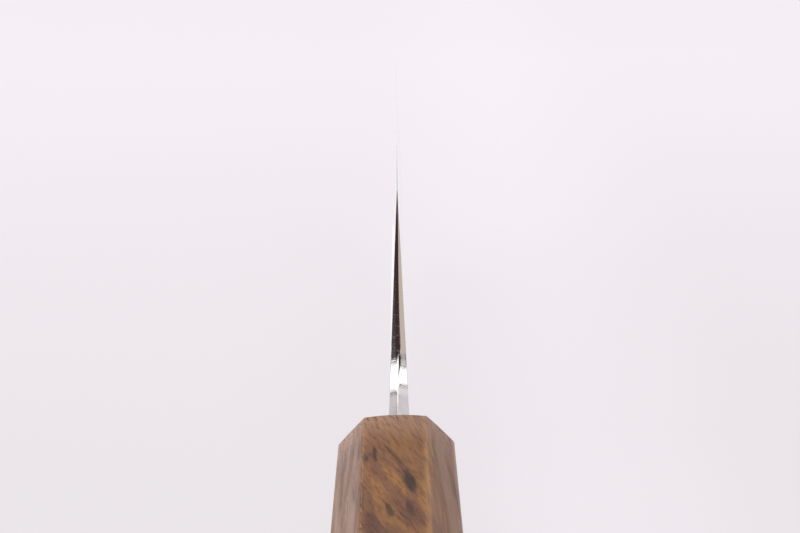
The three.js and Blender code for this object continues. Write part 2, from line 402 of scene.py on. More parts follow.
steps = {
    "tang": 10, "neck": 16, "arc": 30, "blade": 190, "tip": 90,  # along the blade
    "spineRows": 26, "hardRows": 8, "bevelRows": 22,  # down its sides
    "wall": 7, "coreWall": 25, "round": 6,  # across the outline
}

tangX = np.linspace(-b["tangLength"], 0, steps["tang"])
turns = np.linspace(math.radians(b["neckSlope"]), math.pi / 2, steps["arc"])
arcX, arcZ = choilX + b["choilRadius"] * np.sin(turns), choilZ - b["choilRadius"] * np.cos(turns)
neckX = np.linspace(0, arcX[0], steps["neck"])[1:-1]
bladeX = np.concatenate([np.linspace(b["neckLength"], angleX, steps["blade"]),
                         np.linspace(angleX, tipX, steps["tip"])[1:]])
heelLine = edgeLine(bladeX) + (spineLine(bladeX) - edgeLine(bladeX)) * heelShare
stationX = np.concatenate([tangX, neckX, arcX[:-1], bladeX])
stationZ = np.concatenate([undersideLine(tangX), undersideLine(neckX), arcZ[:-1], heelLine])
heel = len(stationX) - len(bladeX)  # the station at the heel

rows = np.linspace(0, 1, steps["spineRows"])
spineX = np.repeat(stationX[:, None], len(rows), axis=1)
spineBand = bandOf(spineX, stationZ[:, None] + (spineLine(stationX) - stationZ)[:, None] * rows)
backTurn = np.concatenate([np.full(len(tangX) + len(neckX), turns[0]), turns])
turnShare = (backTurn - turns[0]) / (turns[-1] - turns[0])
# each worn place is a bell curve along the arc
worn = sum(a * np.exp(-(((turnShare - at) / width) ** 2)) for a, at, width in b["ridgeWorn"])
worn = worn * np.minimum(1, (1 - turnShare) / b["wornEnd"])
backRidge = b["neckRidge"] + (b["choilRidge"] - b["neckRidge"]) * turnShare ** b["ridgeCurve"]
backRidge = backRidge - b["wornShift"] * worn
setOutline(spineBand, np.s_[:heel + 1, 0], -np.sin(backTurn), np.cos(backTurn), backRidge)
spineBand["soft"][:heel + 1, 0] += worn
step = 0.01  # half the distance over which the spine's climb is measured
climb = (spineLine(stationX + step) - spineLine(stationX - step)) / (2 * step)
setOutline(spineBand, np.s_[:, -1], climb / np.hypot(1, climb), -1 / np.hypot(1, climb), 0.0)

seamZ = edgeLine(bladeX) - coreDepth(bladeX)
stripZ = edgeLine(bladeX) - b["sharpHeight"] * tipFade(bladeX)
hardRows = np.linspace(0, 1, steps["hardRows"])[:, None]
softRows = np.linspace(0, 1, steps["bevelRows"])[1:, None]
edgeZ = np.concatenate([edgeLine(bladeX)[None], stripZ + (seamZ - stripZ) * hardRows,
                        seamZ + (heelLine - seamZ) * softRows]).T
seamRow = len(hardRows)
edgeX = np.repeat(bladeX[:, None], edgeZ.shape[1], axis=1)
edgeHalf = halfThickness(edgeX, edgeZ)
edgeHalf[:, 0] = 0
edgeHalf[:, seamRow] = coreHalf(bladeX)
edgeBand = bandOf(edgeX, edgeZ, edgeHalf)
edgeBand["core"][:, :seamRow + 1] = edgeHalf[:, :seamRow + 1]  # bare core along the edge
edgeBand["ease"][:, :seamRow + 1] = 0
upChoil = np.interp(edgeZ[0], [choilZ, b["edgeHeight"]], [1, 0])
choilRidge = b["heelRidge"] + (b["choilRidge"] - b["heelRidge"]) * upChoil**4
choilRidge = choilRidge + b["edgeRidge"] * (1 - upChoil) ** 4
setOutline(edgeBand, np.s_[0, :], -1.0, 0.0, choilRidge)


# the outline's points in one walk: tip, spine, tang's end, neck, choil
def outlineLines(fromRow):
    return [part(spineBand, slice(None, None, -1), -1), part(spineBand, 0, slice(None, None, -1)),
            part(spineBand, slice(None, heel + 1), 0), part(edgeBand, 0, slice(None, fromRow, -1))]


faceSlot, polishSlot, honedSlot = 0, 1, 2
roundTurns = np.radians(np.linspace(0, 90, steps["round"]))[1:]


# an outer layer: its two faces, and walls between them whose outer edge is a quarter circle
def claddingGrids(side):
    bands = [spineBand, part(edgeBand, slice(None), slice(seamRow, None))]
    grids = []
    for band in bands:
        grids.append((wallLevel(band, side, 1, math.pi / 2), faceSlot))
        grids.append((coreLevel(band, side)[::-1], faceSlot))
    for line in outlineLines(seamRow - 1):
        levels = [wallLevel(line, side, share) for share in np.linspace(0, 1, steps["wall"])]
        levels += [wallLevel(line, side, 1, turn) for turn in roundTurns]
        grids.append((np.stack(levels), polishSlot))
    return grids


# the core: its two faces, with the honed strip apart, and the walls between them
def coreGrids():
    grids = []
    honed = part(edgeBand, slice(None), slice(0, 2))
    behind = part(edgeBand, slice(None), slice(1, None))
    for band, slot in ((spineBand, faceSlot), (behind, faceSlot), (honed, honedSlot)):
        grids.append((coreLevel(band, 1), slot))
        grids.append((coreLevel(band, -1)[::-1], slot))
    for line in outlineLines(None):
        levels = [coreLevel(line, share) for share in np.linspace(-1, 1, steps["coreWall"])]
        grids.append((np.stack(levels), polishSlot))
    return grids


bladeLook = {
    "claddingSteel": {"bright": (0.60, 0.595, 0.59), "shade": (0.50, 0.495, 0.49),
                      "roughness": 0.18, "hairTurn": 0},
    "coreSteel": {"bright": (0.74, 0.735, 0.73), "shade": (0.66, 0.655, 0.65),
                  "roughness": 0.2, "hairTurn": 90},
    "claddingMirror": {"bright": (0.68, 0.665, 0.655), "blur": 0.09, "haze": 0.035},
    "coreMirror": {"bright": (0.68, 0.665, 0.655), "blur": 0.012, "haze": 0},
    "edgeSteel": {"heel": (0.5, 0.485, 0.49), "tip": (0.94, 0.92, 0.94),
                  "fade": (0.02, 0.075), "roughness": 0.45},  # from dark to pale away from the front, in metres: a painted reflection
}


# satin steel: hairlines along the blade, slow clouds, both in colour and roughness
def satinSteel(name, bright, shade, roughness, hairTurn):
    material, tree, shader = newMaterial(name)
    place = placeOnPiece(tree, (0, hairTurn, 0))
    hairs = noise(tree, place, (0.035, 1, 2.6), 4, 0.7)
    clouds = noise(tree, place, (0.06, 0.1, 0.12), 3, 0.55)
    share = maths(tree, "ADD", times(tree, hairs, 0.6), times(tree, clouds, 0.4))
    colour = mixColour(tree, rise(tree, share, 0.3, 0.7), shade, bright)
    rough = maths(tree, "MULTIPLY_ADD", share, 0.22, roughness - 0.11)
    normal = relief(tree, hairs, strength=0.06, depth=0.2 * mm)
    setSockets(tree, shader, Base_Color=colour, Roughness=rough, Normal=normal, Metallic=1)
    return material


# polished steel: fine scratches across the blade, deeper ones that scatter light, and hazy lines
# along it
def polishedSteel(name, bright, blur, haze):
    material, tree, shader = newMaterial(name)
    place = placeOnPiece(tree)
    fine = noise(tree, place, (9, 0.7, 9), 3, 0.6)
    deep = rise(tree, noise(tree, place, (5.3, 0.6, 5.3)), 0.6, 0.7)
    lines = rise(tree, noise(tree, place, (0.15, 4, 0.15)), 0.48, 0.72)
    rough = maths(tree, "MULTIPLY_ADD", fine, 0.05, blur)
    for marks, amount in ((deep, 0.2), (lines, 0.12)):
        rough = maths(tree, "MULTIPLY_ADD", marks, amount, rough)
    height = maths(tree, "MULTIPLY_ADD", deep, -0.6, fine)
    normal = relief(tree, height, strength=0.12, depth=0.1 * mm)
    setSockets(tree, shader, Base_Color=opaque(bright), Roughness=rough, Normal=normal)
    setSockets(tree, shader, Metallic=1 - haze)
    return material


# honed steel: coarse scratches across the edge keep it rough; it is dark at the heel and pale
# towards the tip, a painted reflection of dark surroundings that fades along the edge
def honedSteel(name, heel, tip, fade, roughness):
    material, tree, shader = newMaterial(name)
    scratches = noise(tree, placeOnPiece(tree), (7, 1, 0.6), 2, 0.6)
    share = rise(tree, splitPlace(tree)[0], frontX + fade[0], frontX + fade[1])
    colour = mixColour(tree, maths(tree, "MULTIPLY_ADD", scratches, 0.3, share), heel, tip)
    setSockets(tree, shader, Base_Color=colour, Specular_Tint=colour)
    setSockets(tree, shader, Roughness=roughness, Metallic=1)
    return material


claddingSteel = satinSteel("claddingSteel", **bladeLook["claddingSteel"])
coreSteel = satinSteel("coreSteel", **bladeLook["coreSteel"])
coreMirror = polishedSteel("coreMirror", **bladeLook["coreMirror"])
claddingMirror = polishedSteel("claddingMirror", **bladeLook["claddingMirror"])
edgeSteel = honedSteel("edgeSteel", **bladeLook["edgeSteel"])
coreFinish = [coreSteel, coreMirror, edgeSteel]  # in the order of the slots above
sideFinish = [claddingSteel, claddingMirror, edgeSteel]

bladePieces = {
    "bladeCore": (coreGrids(), coreFinish, "core_steel", "core_steel"),
    "bladeLeftSide": (claddingGrids(1), sideFinish, "left_cladding", "cladding_steel"),
    "bladeRightSide": (claddingGrids(-1), sideFinish, "right_cladding", "cladding_steel"),
}
for name, (grids, finish, node, slotName) in bladePieces.items():
    piece = meshFromGrids(name, grids, finish)
    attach(piece, "root")
    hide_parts(node)
    print(name, len(piece.data.polygons), "faces")


# Handle: a rounded octagon carried along its length
handleForm = {
    "frontWidth": 18,
    "buttWidth": 2 * handleBox[1].y / mm,
    "cornerWidth": (4.2, 5.16),  # at the front and at the butt
    "cornerHeight": 4.4,
    "turned": -1.13,  # degrees about the tang, and millimetres off the blade's middle
    "aside": 0.33,
    "cornerRound": (0.5, 0.5, 0.3, 0.34, 0.5, 0.5, 0.5, 0.5),  # length that each eased corner takes
    "crown": (0.08, 0.06, 0.3, 0.06, 0.08, 0.06, 0.0, 0.06),  # swell of each flat
    "sheen": (1, 0.86, 0, 0.38, 1, 1, 1, 1),  # the flat towards the edge is duller
    "frontRound": 0.6,
    "buttRound": 1.3,
    "bondSpace": 1.1,
    "resinPlug": 6,
    "bondGap": 0.3,
}
h = handleForm
cornerPoints, flatPoints = 6, 9
handleSteps = {"along": 110, "round": 7, "face": 8, "bore": 12, "butt": 14}


# ring of the octagon at a distance behind the front, drawn in by inset: each corner is a quadratic
# curve between its two flats and each flat swells by a parabola
def octagonRing(back, inset):
    grown = np.interp(back, [0, handleLength], [1, h["buttWidth"] / h["frontWidth"]])
    width = h["frontWidth"] * grown / 2 - inset
    low, high = inset, np.interp(back, [0, handleLength], [frontHeight, buttHeight]) - inset
    cornerWidth = np.interp(back, [0, handleLength], h["cornerWidth"])
    drawnIn = 1 - inset * (2 - math.sqrt(2)) / cornerWidth
    across, down = cornerWidth * drawnIn, h["cornerHeight"] * grown * drawnIn
    inner = width - across
    y = np.stack([width, width, inner, -inner, -width, -width, -inner, inner])
    z = np.stack([low + down, high - down, high, high, high - down, low + down, low, low])
    corners = np.stack([y, z], axis=-1)  # corner, station, (y, z)
    after = np.roll(corners, -1, axis=0) - corners
    length = np.linalg.norm(after, axis=-1, keepdims=True)
    ahead = after / length
    behind = np.roll(ahead, 1, axis=0)
    reach = np.array(h["cornerRound"])[:, None, None] / 2
    enter, leave = corners - behind * reach, corners + ahead * reach
    t = np.linspace(0, 1, cornerPoints)[:, None, None]
    curve = ((1 - t) ** 2 * enter[:, None] + 2 * t * (1 - t) * corners[:, None]
             + t**2 * leave[:, None])
    s = np.linspace(0, 1, flatPoints + 2)[1:-1, None, None]
    outward = np.stack([ahead[..., 1], -ahead[..., 0]], axis=-1)
    swell = np.array(h["crown"])[:, None, None, None] * 4 * s * (1 - s) * outward[:, None]
    flat = leave[:, None] * (1 - s) + np.roll(enter, -1, axis=0)[:, None] * s + swell
    ring = np.concatenate([curve, flat], axis=1)  # corner, point, station, (y, z)
    ring = ring.transpose(2, 0, 1, 3).reshape(len(back), -1, 2)
    middle = np.stack([np.zeros_like(back), (low + high) / 2], axis=-1)[:, None]
    turn = math.radians(h["turned"])
    turned = np.array([[math.cos(turn), math.sin(turn)], [-math.sin(turn), math.cos(turn)]])
    ring = (ring - middle) @ turned + middle + np.array([h["aside"], 0])
    return np.concatenate([np.repeat(-back[:, None, None], ring.shape[1], axis=1), ring], axis=-1)


# ring of the tang's rectangle grown by a margin, met by rays from its middle in the same directions
def tangRing(x, margin, directions):
    half = (flatHalf(x) + margin)[:, None]
    low, high = spineLine(x) - margin, undersideLine(x) + margin
    tall, middle = ((high - low) / 2)[:, None], ((high + low) / 2)[:, None]
    reach = np.minimum(half / np.maximum(np.abs(directions[:, 0]), 1e-6),
                       tall / np.maximum(np.abs(directions[:, 1]), 1e-6))
    y, z = reach * directions[:, 0], middle + reach * directions[:, 1]
    return np.stack([np.repeat(x[:, None], len(directions), axis=1), y, z], axis=-1)


# copies of a ring, each scaled about the ring's middle by one of the shares
def shrunk(ring, shares):
    middle = ring.mean(axis=0)
    return middle + (ring - middle) * shares[:, None, None]


# rings with their first point again at the end
def closedRings(rings):
    return np.concatenate([rings, rings[:, :1]], axis=1)


# rings in one walk: up the bore, over the front, along the outside, whose ends are quarter
# circles, and across the butt
def handleGrids():
    turn = np.linspace(0, math.pi / 2, handleSteps["round"])
    frontRound, buttRound = h["frontRound"], h["buttRound"]
    straight = np.linspace(frontRound, handleLength - buttRound, handleSteps["along"])[1:-1]
    back = np.concatenate([frontRound * (1 - np.cos(turn)), straight,
                           handleLength - buttRound * (1 - np.sin(turn))])
    inset = np.concatenate([frontRound * (1 - np.sin(turn)), np.zeros_like(straight),
                            buttRound * (1 - np.cos(turn))])
    outside = octagonRing(back, inset)
    mouthMiddle = np.array([0, float(spineLine(0) + undersideLine(0)) / 2])
    directions = outside[0, :, 1:] - mouthMiddle
    directions = directions / np.linalg.norm(directions, axis=1, keepdims=True)
    mouth = tangRing(np.array([0.0]), h["bondSpace"], directions)
    share = np.linspace(0, 1, handleSteps["face"])[:-1, None, None]
    face = mouth * (1 - share) + outside[:1] * share
    deep = np.linspace(-b["tangLength"], 0, handleSteps["bore"])[:-1]
    bore = tangRing(deep, h["bondSpace"], directions)
    bottom = bore[:1] - np.array([h["resinPlug"] + h["bondGap"], 0, 0])
    boreEnd = shrunk(bottom[0], np.array([0.0, 0.5]))
    butt = shrunk(outside[-1], np.linspace(1, 0, handleSteps["butt"])[1:])
    rings = np.concatenate([boreEnd, bottom, bore, face, outside, butt])
    perFlat = cornerPoints + flatPoints
    # corners painted lighter: partly wear, partly painted highlight
    fromCorner = np.abs(np.arange(outside.shape[1]) % perFlat - (cornerPoints - 1) / 2)
    wearAndHighlight = np.clip(1 - fromCorner / (cornerPoints / 2 + 0.5), 0, 1)
    onSides = np.zeros(len(rings))
    sides = len(rings) - len(butt) - len(outside)
    onSides[sides:sides + len(outside)] = 1
    worn = np.outer(onSides, np.append(wearAndHighlight, wearAndHighlight[0]))
    sheen = np.repeat(h["sheen"], perFlat)
    sheen = np.outer(np.ones(len(rings)), np.append(sheen, sheen[0]))
    return [(closedRings(rings), 0)], {"cornerWearAndHighlight": [worn.ravel()], "sheen": [sheen.ravel()]}


woodLook = {
    "grainTurn": (0, 4, -14),  # on the flat towards the edge
    "sideTurn": (0, 1, -2),  # on all other flats
    "golden": (0.325, 0.15, 0.044),
    "brown": (0.205, 0.091, 0.043),
    "red": (0.138, 0.057, 0.036),
    "dark": (0.085, 0.037, 0.023),
    "streak": (0.018, 0.012, 0.009),
    # colour of the lighter corners: partly wear, partly painted highlight
    "edge": (0.44, 0.24, 0.1),
    "dry": (0.415, 0.25, 0.173),
    "pale": (0.33, 0.216, 0.13),
    "topLevel": (0.0195, 0.0212),  # height where the flat towards the edge starts, in metres
    "dryLength": 0.015,  # behind the front
    # marks on that flat: behind the front, off the middle, half length, half width, slant, strength
    "darkMarks": (
        (30.4, -1.95, 6.2, 1.0, 5.5, 1.0),
        (20.0, 0.1, 7.5, 0.55, 15.6, 0.6),
        (42.0, 0.9, 4.0, 0.6, 10, 0.85),
        (48.0, 3.4, 7.0, 1.3, 3, 0.4),
        (41.4, -1.9, 4.4, 0.62, 6, 0.75),
        (18.4, 3.1, 4.2, 0.36, 2, 0.85),
        (19.6, 4.35, 2.4, 0.5, 3, 0.8),
        (36.0, 4.75, 4.5, 0.34, 1, 0.7),
        (34.0, -3.6, 5.0, 0.3, 9, 0.35),
        (47.0, 0.8, 8.0, 2.8, 6, 0.2),
    ),
    "goldenMarks": (
        (29.5, 0.1, 9.0, 1.0, 14, 0.9),
        (37.0, -4.0, 10.0, 1.0, 3, 0.9),
        # this mark and the one at 51 lie along the right edge: partly wear, partly painted
        # highlight
        (21.0, -4.85, 19.0, 0.75, -0.3, 1.0),
        (51.0, -4.6, 7.0, 0.7, 0, 0.9),
        (17.5, -1.6, 6.0, 0.5, 13, 0.6),
        (15.0, -1.6, 14.0, 4.4, 7, 0.52),
        (54.0, -3.0, 7.0, 3.0, 3, 0.45),
    ),
    "redMarks": (
        (46.5, 2.6, 9.0, 2.2, 4, 1.0),
        (9.0, 2.4, 6.0, 1.8, 10, 0.6),
        (44.5, -2.4, 6.5, 2.2, 5, 1.0),
        (24.0, 2.2, 7.0, 1.2, 12, 0.5),
    ),
}


# slow bands, fine lines and pores, all long in the direction of the grain
def woodGrain(tree, turn, short, fine):
    place = placeOnPiece(tree, turn)
    wander = noise(tree, place, (0.025, 0.1, 0.1))
    bent = vectorMaths(tree, "MULTIPLY_ADD", wander, (0, 3, 3), place)[0]
    bands = noise(tree, bent, (0.022 * short, 0.42, 0.42), 2, 0.55)
    lines = noise(tree, bent, (0.085 * short, 2.3 * fine, 2.3 * fine), 3, 0.62)
    pores = noise(tree, bent, (0.3 * short, 4.6 * fine, 4.6 * fine), 1)
    return bands, lines, pores


# oiled wood: bands and fine lines run along the handle at a slant, with pores and dark streaks, and
# corners painted lighter, partly wear and partly painted highlight
def oiledWood(name):
    material, tree, shader = newMaterial(name)
    w = woodLook
    sheen = attribute(tree, "sheen")["Fac"]
    elsewhere = rise(tree, sheen, 0.1, 0.5)  # 0 on the flat towards the edge, 1 on most others
    pairs = zip(woodGrain(tree, w["grainTurn"], 1, 1), woodGrain(tree, w["sideTurn"], 0.75, 0.7))
    bands, lines, pores = (mixValue(tree, elsewhere, top, side) for top, side in pairs)
    place = placeOnPiece(tree, w["grainTurn"])
    patches = noise(tree, place, (0.05, 0.16, 0.16), 3)
    ragged = noise(tree, place, (0.35, 1.6, 1.6))
    spare = noise(tree, place, (0.07, 0.55, 0.55), 2, 0.45)
    along, _, up = splitPlace(tree)
    onTop = rise(tree, up, *w["topLevel"])
    kinds = ("goldenMarks", "redMarks", "darkMarks")
    golden, red, dark = (markMask(tree, w[kind], ragged, onTop) for kind in kinds)
    golden = maths(tree, "MAXIMUM", golden, times(tree, rise(tree, bands, 0.46, 0.3), 0.7))
    red = maths(tree, "MAXIMUM", red, rise(tree, patches, 0.48, 0.64))
    dark = maths(tree, "MAXIMUM", dark, rise(tree, spare, 0.75, 0.82))
    colour = mixColour(tree, times(tree, red, 0.75), w["brown"], w["red"])
    colour = mixColour(tree, golden, colour, w["golden"])
    lined = times(tree, rise(tree, lines, 0.45, 0.68), mixValue(tree, elsewhere, 0.6, 0.62))
    colour = mixColour(tree, lined, colour, w["dark"])
    faded = maths(tree, "MAXIMUM", rise(tree, lines, 0.46, 0.3), rise(tree, bands, 0.5, 0.66))
    faded = times(tree, faded, times(tree, elsewhere, 0.62))
    colour = mixColour(tree, faded, colour, w["pale"])
    porous = times(tree, rise(tree, pores, 0.6, 0.72), mixValue(tree, elsewhere, 0.38, 0.2))
    colour = mixColour(tree, porous, colour, w["streak"])
    colour = mixColour(tree, times(tree, dark, 0.85), colour, w["streak"])
    dry = rise(tree, along, frontX - w["dryLength"], frontX)  # paler towards the front
    cuts = rise(tree, noise(tree, place, (0.15, 3.2, 3.2), 1), 0.53, 0.66)
    cuts = times(tree, cuts, times(tree, dry, 0.7))
    dry = times(tree, dry, maths(tree, "MULTIPLY_ADD", lines, -0.7, 0.95))
    colour = mixColour(tree, dry, colour, w["dry"])
    colour = mixColour(tree, cuts, colour, w["dark"])
    # lighter corners: partly wear, partly painted highlight
    wearAndHighlight = times(tree, attribute(tree, "cornerWearAndHighlight")["Fac"], rise(tree, lines, 0.72, 0.4))
    colour = mixColour(tree, times(tree, wearAndHighlight, 0.62), colour, w["edge"])
    rough = maths(tree, "MULTIPLY_ADD", sheen, -0.22, 0.52)
    rough = maths(tree, "MULTIPLY_ADD", lines, 0.2, rough)
    shine = maths(tree, "MULTIPLY_ADD", sheen, 0.3, 0.2)
    height = maths(tree, "SUBTRACT", lines, times(tree, rise(tree, pores, 0.58, 0.7), 0.6))
    normal = relief(tree, height, strength=0.25, depth=0.2 * mm)
    setSockets(tree, shader, Base_Color=colour, Roughness=rough, Normal=normal)
    setSockets(tree, shader, Specular_IOR_Level=shine)
    return material


# the strongest of several marks, with ragged edges, on the flat towards the edge only
def markMask(tree, marks, ragged, onTop):
    strongest = 0.0
    for *form, strength in marks:
        mask = times(tree, streakMask(tree, ragged, *form), strength)
        strongest = maths(tree, "MAXIMUM", mask, strongest)
    return times(tree, strongest, onTop)


flatMiddle = h["aside"] - math.sin(math.radians(h["turned"])) * frontHeight / 2


# a long spot round a place on the flat: 1 in its middle, fading out where the distance from it,
# divided by the half length and half width, is about 1
def streakMask(tree, ragged, back, off, length, width, slant):
    place = placeOnPiece(tree, (0, 0, -slant))
    turn = math.radians(slant)
    x, y = frontX / mm - back, off + flatMiddle
    middle = (x * math.cos(turn) + y * math.sin(turn), y * math.cos(turn) - x * math.sin(turn), 0)
    away = vectorMaths(tree, "SUBTRACT", place, middle)[0]
    away = vectorMaths(tree, "MULTIPLY", away, (1 / length, 1 / width, 0))[0]
    reach = vectorMaths(tree, "LENGTH", away)["Value"]
    return rise(tree, maths(tree, "MULTIPLY_ADD", ragged, 1.1, reach), 1.75, 0.95)


grids, wearAndHighlight = handleGrids()
handlePiece = meshFromGrids("handleWood", grids, [oiledWood("oiledWood")], wearAndHighlight, sharpAngle=40)
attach(handlePiece, "root")
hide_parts("handle")
print("handleWood", len(handlePiece.data.polygons), "faces")


# Resin: a sleeve round the tang with a plug, and a hollow rim at the mouth
resinForm = {
    "clearance": 0.06,
    "mouthInset": 0.5,  # the sleeve's end behind the handle's front
    "rimLift": 0.25,
    "rimDip": 0.35,
    "colour": (0.05, 0.033, 0.022),
    "shade": 0.6,  # of the colour, in its dark specks
}
resinSteps = {"around": 97, "along": 12, "rim": 7}


# rings in one walk: round the tang's end, along the tang, over the rim, back and over the plug
def resinGrids():
    angles = np.linspace(0, 2 * math.pi, resinSteps["around"])[:-1]
    directions = np.stack([np.cos(angles), np.sin(angles)], axis=1)
    along = np.linspace(-b["tangLength"], -resinForm["mouthInset"], resinSteps["along"])
    inner, outer = resinForm["clearance"], h["bondSpace"] - resinForm["clearance"]
    inside, outside = tangRing(along, inner, directions), tangRing(along, outer, directions)
    share = np.linspace(0, 1, resinSteps["rim"])[:, None, None]
    dip = resinForm["rimLift"] - resinForm["rimDip"] * 4 * share * (1 - share)  # a parabola
    rim = inside[-1:] * (1 - share) + outside[-1:] * share + np.array([1.0, 0, 0]) * dip
    behind = inside[:1] - np.array([inner, 0, 0])
    plug = outside[:1] - np.array([h["resinPlug"], 0, 0])
    tangEnd = shrunk(behind[0], np.array([0.0, 0.5]))
    plugEnd = shrunk(plug[0], np.array([0.5, 0.0]))
    rings = np.concatenate([tangEnd, behind, inside, rim, outside[::-1], plug, plugEnd])
    return [(closedRings(rings), 0)]


# set resin: dark, with darker specks
def setResin(name):
    material, tree, shader = newMaterial(name)
    specks = noise(tree, placeOnPiece(tree), (2, 2, 2), 3)
    dark = tuple(resinForm["shade"] * value for value in resinForm["colour"])
    colour = mixColour(tree, specks, dark, resinForm["colour"])
    rough = maths(tree, "MULTIPLY_ADD", specks, 0.3, 0.35)
    setSockets(tree, shader, Base_Color=colour, Roughness=rough)
    return material


resinPiece = meshFromGrids("beddingResin", resinGrids(), [setResin("setResin")], sharpAngle=50)
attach(resinPiece, "root")
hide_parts("tang_resin")
print("beddingResin", len(resinPiece.data.polygons), "faces")


# Stage: a pale floor and world, one large soft lamp above, and glowing and dark cards that only the
# steel mirrors, as painted reflections
stageForm = {
    "pale": (0.94, 0.885, 0.94),
    # painted shade: the floor is darker round the object and towards the camera
    "near": (0.80, 0.762, 0.79),
    # painted light: colour of a paler streak on the floor right of the blade
    "streak": (0.98, 0.92, 0.98),
    "floorSize": 30.0,
    "floorLevel": -0.0003,
    "glowShare": 0.87,  # the rest of the floor takes light and shadow
    "paintedShadeFade": (-0.08, 0.42),  # along x, from the painted shade to the pale floor
    "viewMiddle": (0.35, 0, 0),
    "viewFade": (0.42, 1.0),  # from there, past the part of the floor that the photo shows
    "paintedLightMiddle": -0.028,  # painted light: a paler streak along the floor, right of the blade
    "paintedLightHalf": 0.045,
    "paintedLightFade": (-0.14, 0.0),
    "paintedLightShare": 0.4,
    "worldLight": 0.22,  # strength of the world as a light
    "worldMirrored": 0.66,  # added where it is mirrored or seen
    "worldSeen": 0.12,  # added again where it is seen
}


# 1 where the camera, a mirror or glass looks, 0 for light on its way to a dull surface
def seenDirectly(tree):
    path = addNode(tree, "ShaderNodeLightPath").outputs
    both = maths(tree, "MAXIMUM", path["Is Camera Ray"], path["Is Glossy Ray"])
    return maths(tree, "MAXIMUM", both, path["Is Transmission Ray"])


# a square that glows where it is seen, with painted shade round the object and a painted streak of
# light right of the blade, and takes light and shadow with the rest
def paleFloor():
    s = stageForm
    half = s["floorSize"] / 2
    corners = [(-half, -half, 0), (half, -half, 0), (half, half, 0), (-half, half, 0)]
    mesh = bpy.data.meshes.new("floor")
    mesh.from_pydata(corners, [], [(0, 1, 2, 3)])
    floor = bpy.data.objects.new("floor", mesh)
    floor.location.z = s["floorLevel"]
    bpy.context.scene.collection.objects.link(floor)
    material, tree, shader = newMaterial("paleFloor")
    place = addNode(tree, "ShaderNodeTexCoord").outputs["Object"]
    reach = vectorMaths(tree, "DISTANCE", place, s["viewMiddle"])["Value"]
    beyond = rise(tree, reach, *s["viewFade"])
    along, across, _ = splitPlace(tree)
    # painted shade: darker round the object and towards the camera, pale ahead
    colour = mixColour(tree, rise(tree, along, *s["paintedShadeFade"]), s["near"], s["pale"])
    # painted light: a paler streak along the floor right of the blade
    paintedLightAway = maths(tree, "ABSOLUTE", maths(tree, "SUBTRACT", across, s["paintedLightMiddle"]))
    streak = rise(tree, paintedLightAway, s["paintedLightHalf"], 0)
    streak = times(tree, streak, rise(tree, along, *s["paintedLightFade"]))
    colour = mixColour(tree, times(tree, streak, s["paintedLightShare"]), colour, s["streak"])
    colour = mixColour(tree, beyond, colour, s["pale"])
    glow = addNode(tree, "ShaderNodeEmission", Color=colour)
    setSockets(tree, shader, Base_Color=opaque(s["pale"]), Roughness=0.9, Specular_IOR_Level=0.1)
    share = maths(tree, "MULTIPLY_ADD", beyond, 1 - s["glowShare"], s["glowShare"])
    share = times(tree, share, seenDirectly(tree))
    both = addNode(tree, "ShaderNodeMixShader", i0=share, i1=shader.outputs[0], i2=glow.outputs[0])
    tree.links.new(both.outputs[0], tree.nodes["Material Output"].inputs["Surface"])
    mesh.materials.append(material)


# the room all round: weak as a light, pale where it is seen or mirrored
def paleWorld():
    s = stageForm
    world = bpy.data.worlds.new("paleRoom")
    world.use_nodes = True
    bpy.context.scene.world = world
    tree = world.node_tree
    strength = maths(tree, "MULTIPLY_ADD", seenDirectly(tree), s["worldMirrored"], s["worldLight"])
    seen = addNode(tree, "ShaderNodeLightPath").outputs["Is Camera Ray"]
    strength = maths(tree, "MULTIPLY_ADD", seen, s["worldSeen"], strength)
    setSockets(tree, tree.nodes["Background"], Color=opaque(s["pale"]), Strength=strength)


# the matrix of something at a place, from its right, up and back directions
def standing(place, right, up, back):
    return Matrix.Translation(place) @ Matrix((right, up, back)).transposed().to_4x4()


lampForm = {
    "place": (-0.30, 0.28, 0.75),
    "target": (-0.01, 0, 0.03),
    "size": (1.75, 2.26),
    "watts": 19,
}


# a lamp that looks at its target, with its width along x as far as that allows
def softLamp(name, place, target, size, watts):
    data = bpy.data.lights.new(name, "AREA")
    data.shape = "RECTANGLE"
    data.size, data.size_y = size
    data.energy = watts
    lamp = bpy.data.objects.new(name, data)
    outward = (Vector(place) - Vector(target)).normalized()
    side = (Vector((1, 0, 0)) - outward * outward.x).normalized()
    lamp.matrix_world = standing(place, side, outward.cross(side), outward)
    lamp.visible_camera = False
    bpy.context.scene.collection.objects.link(lamp)


# a card that glows for mirrors only, a painted reflection: a grid of rows of points, each row with
# its own colour
def paintedReflectionCard(name, rows, colours):
    points = np.array(rows, float)
    high, wide = points.shape[:2]
    mesh = bpy.data.meshes.new(name)
    mesh.from_pydata(points.reshape(-1, 3).tolist(), [], gridQuads(high, wide).tolist())
    glowing = np.ones((high, wide, 4), np.float32)
    glowing[..., :3] = np.array(colours)[:, None]
    mesh.attributes.new("glow", "FLOAT_COLOR", "POINT").data.foreach_set("color", glowing.ravel())
    card = bpy.data.objects.new(name, mesh)
    bpy.context.scene.collection.objects.link(card)
    material, tree, _ = newMaterial(name)
    glow = addNode(tree, "ShaderNodeEmission", Color=attribute(tree, "glow")["Color"])
    tree.links.new(glow.outputs[0], tree.nodes["Material Output"].inputs["Surface"])
    mesh.materials.append(material)
    card.visible_camera = card.visible_diffuse = card.visible_shadow = False
    card.visible_transmission = card.visible_volume_scatter = False
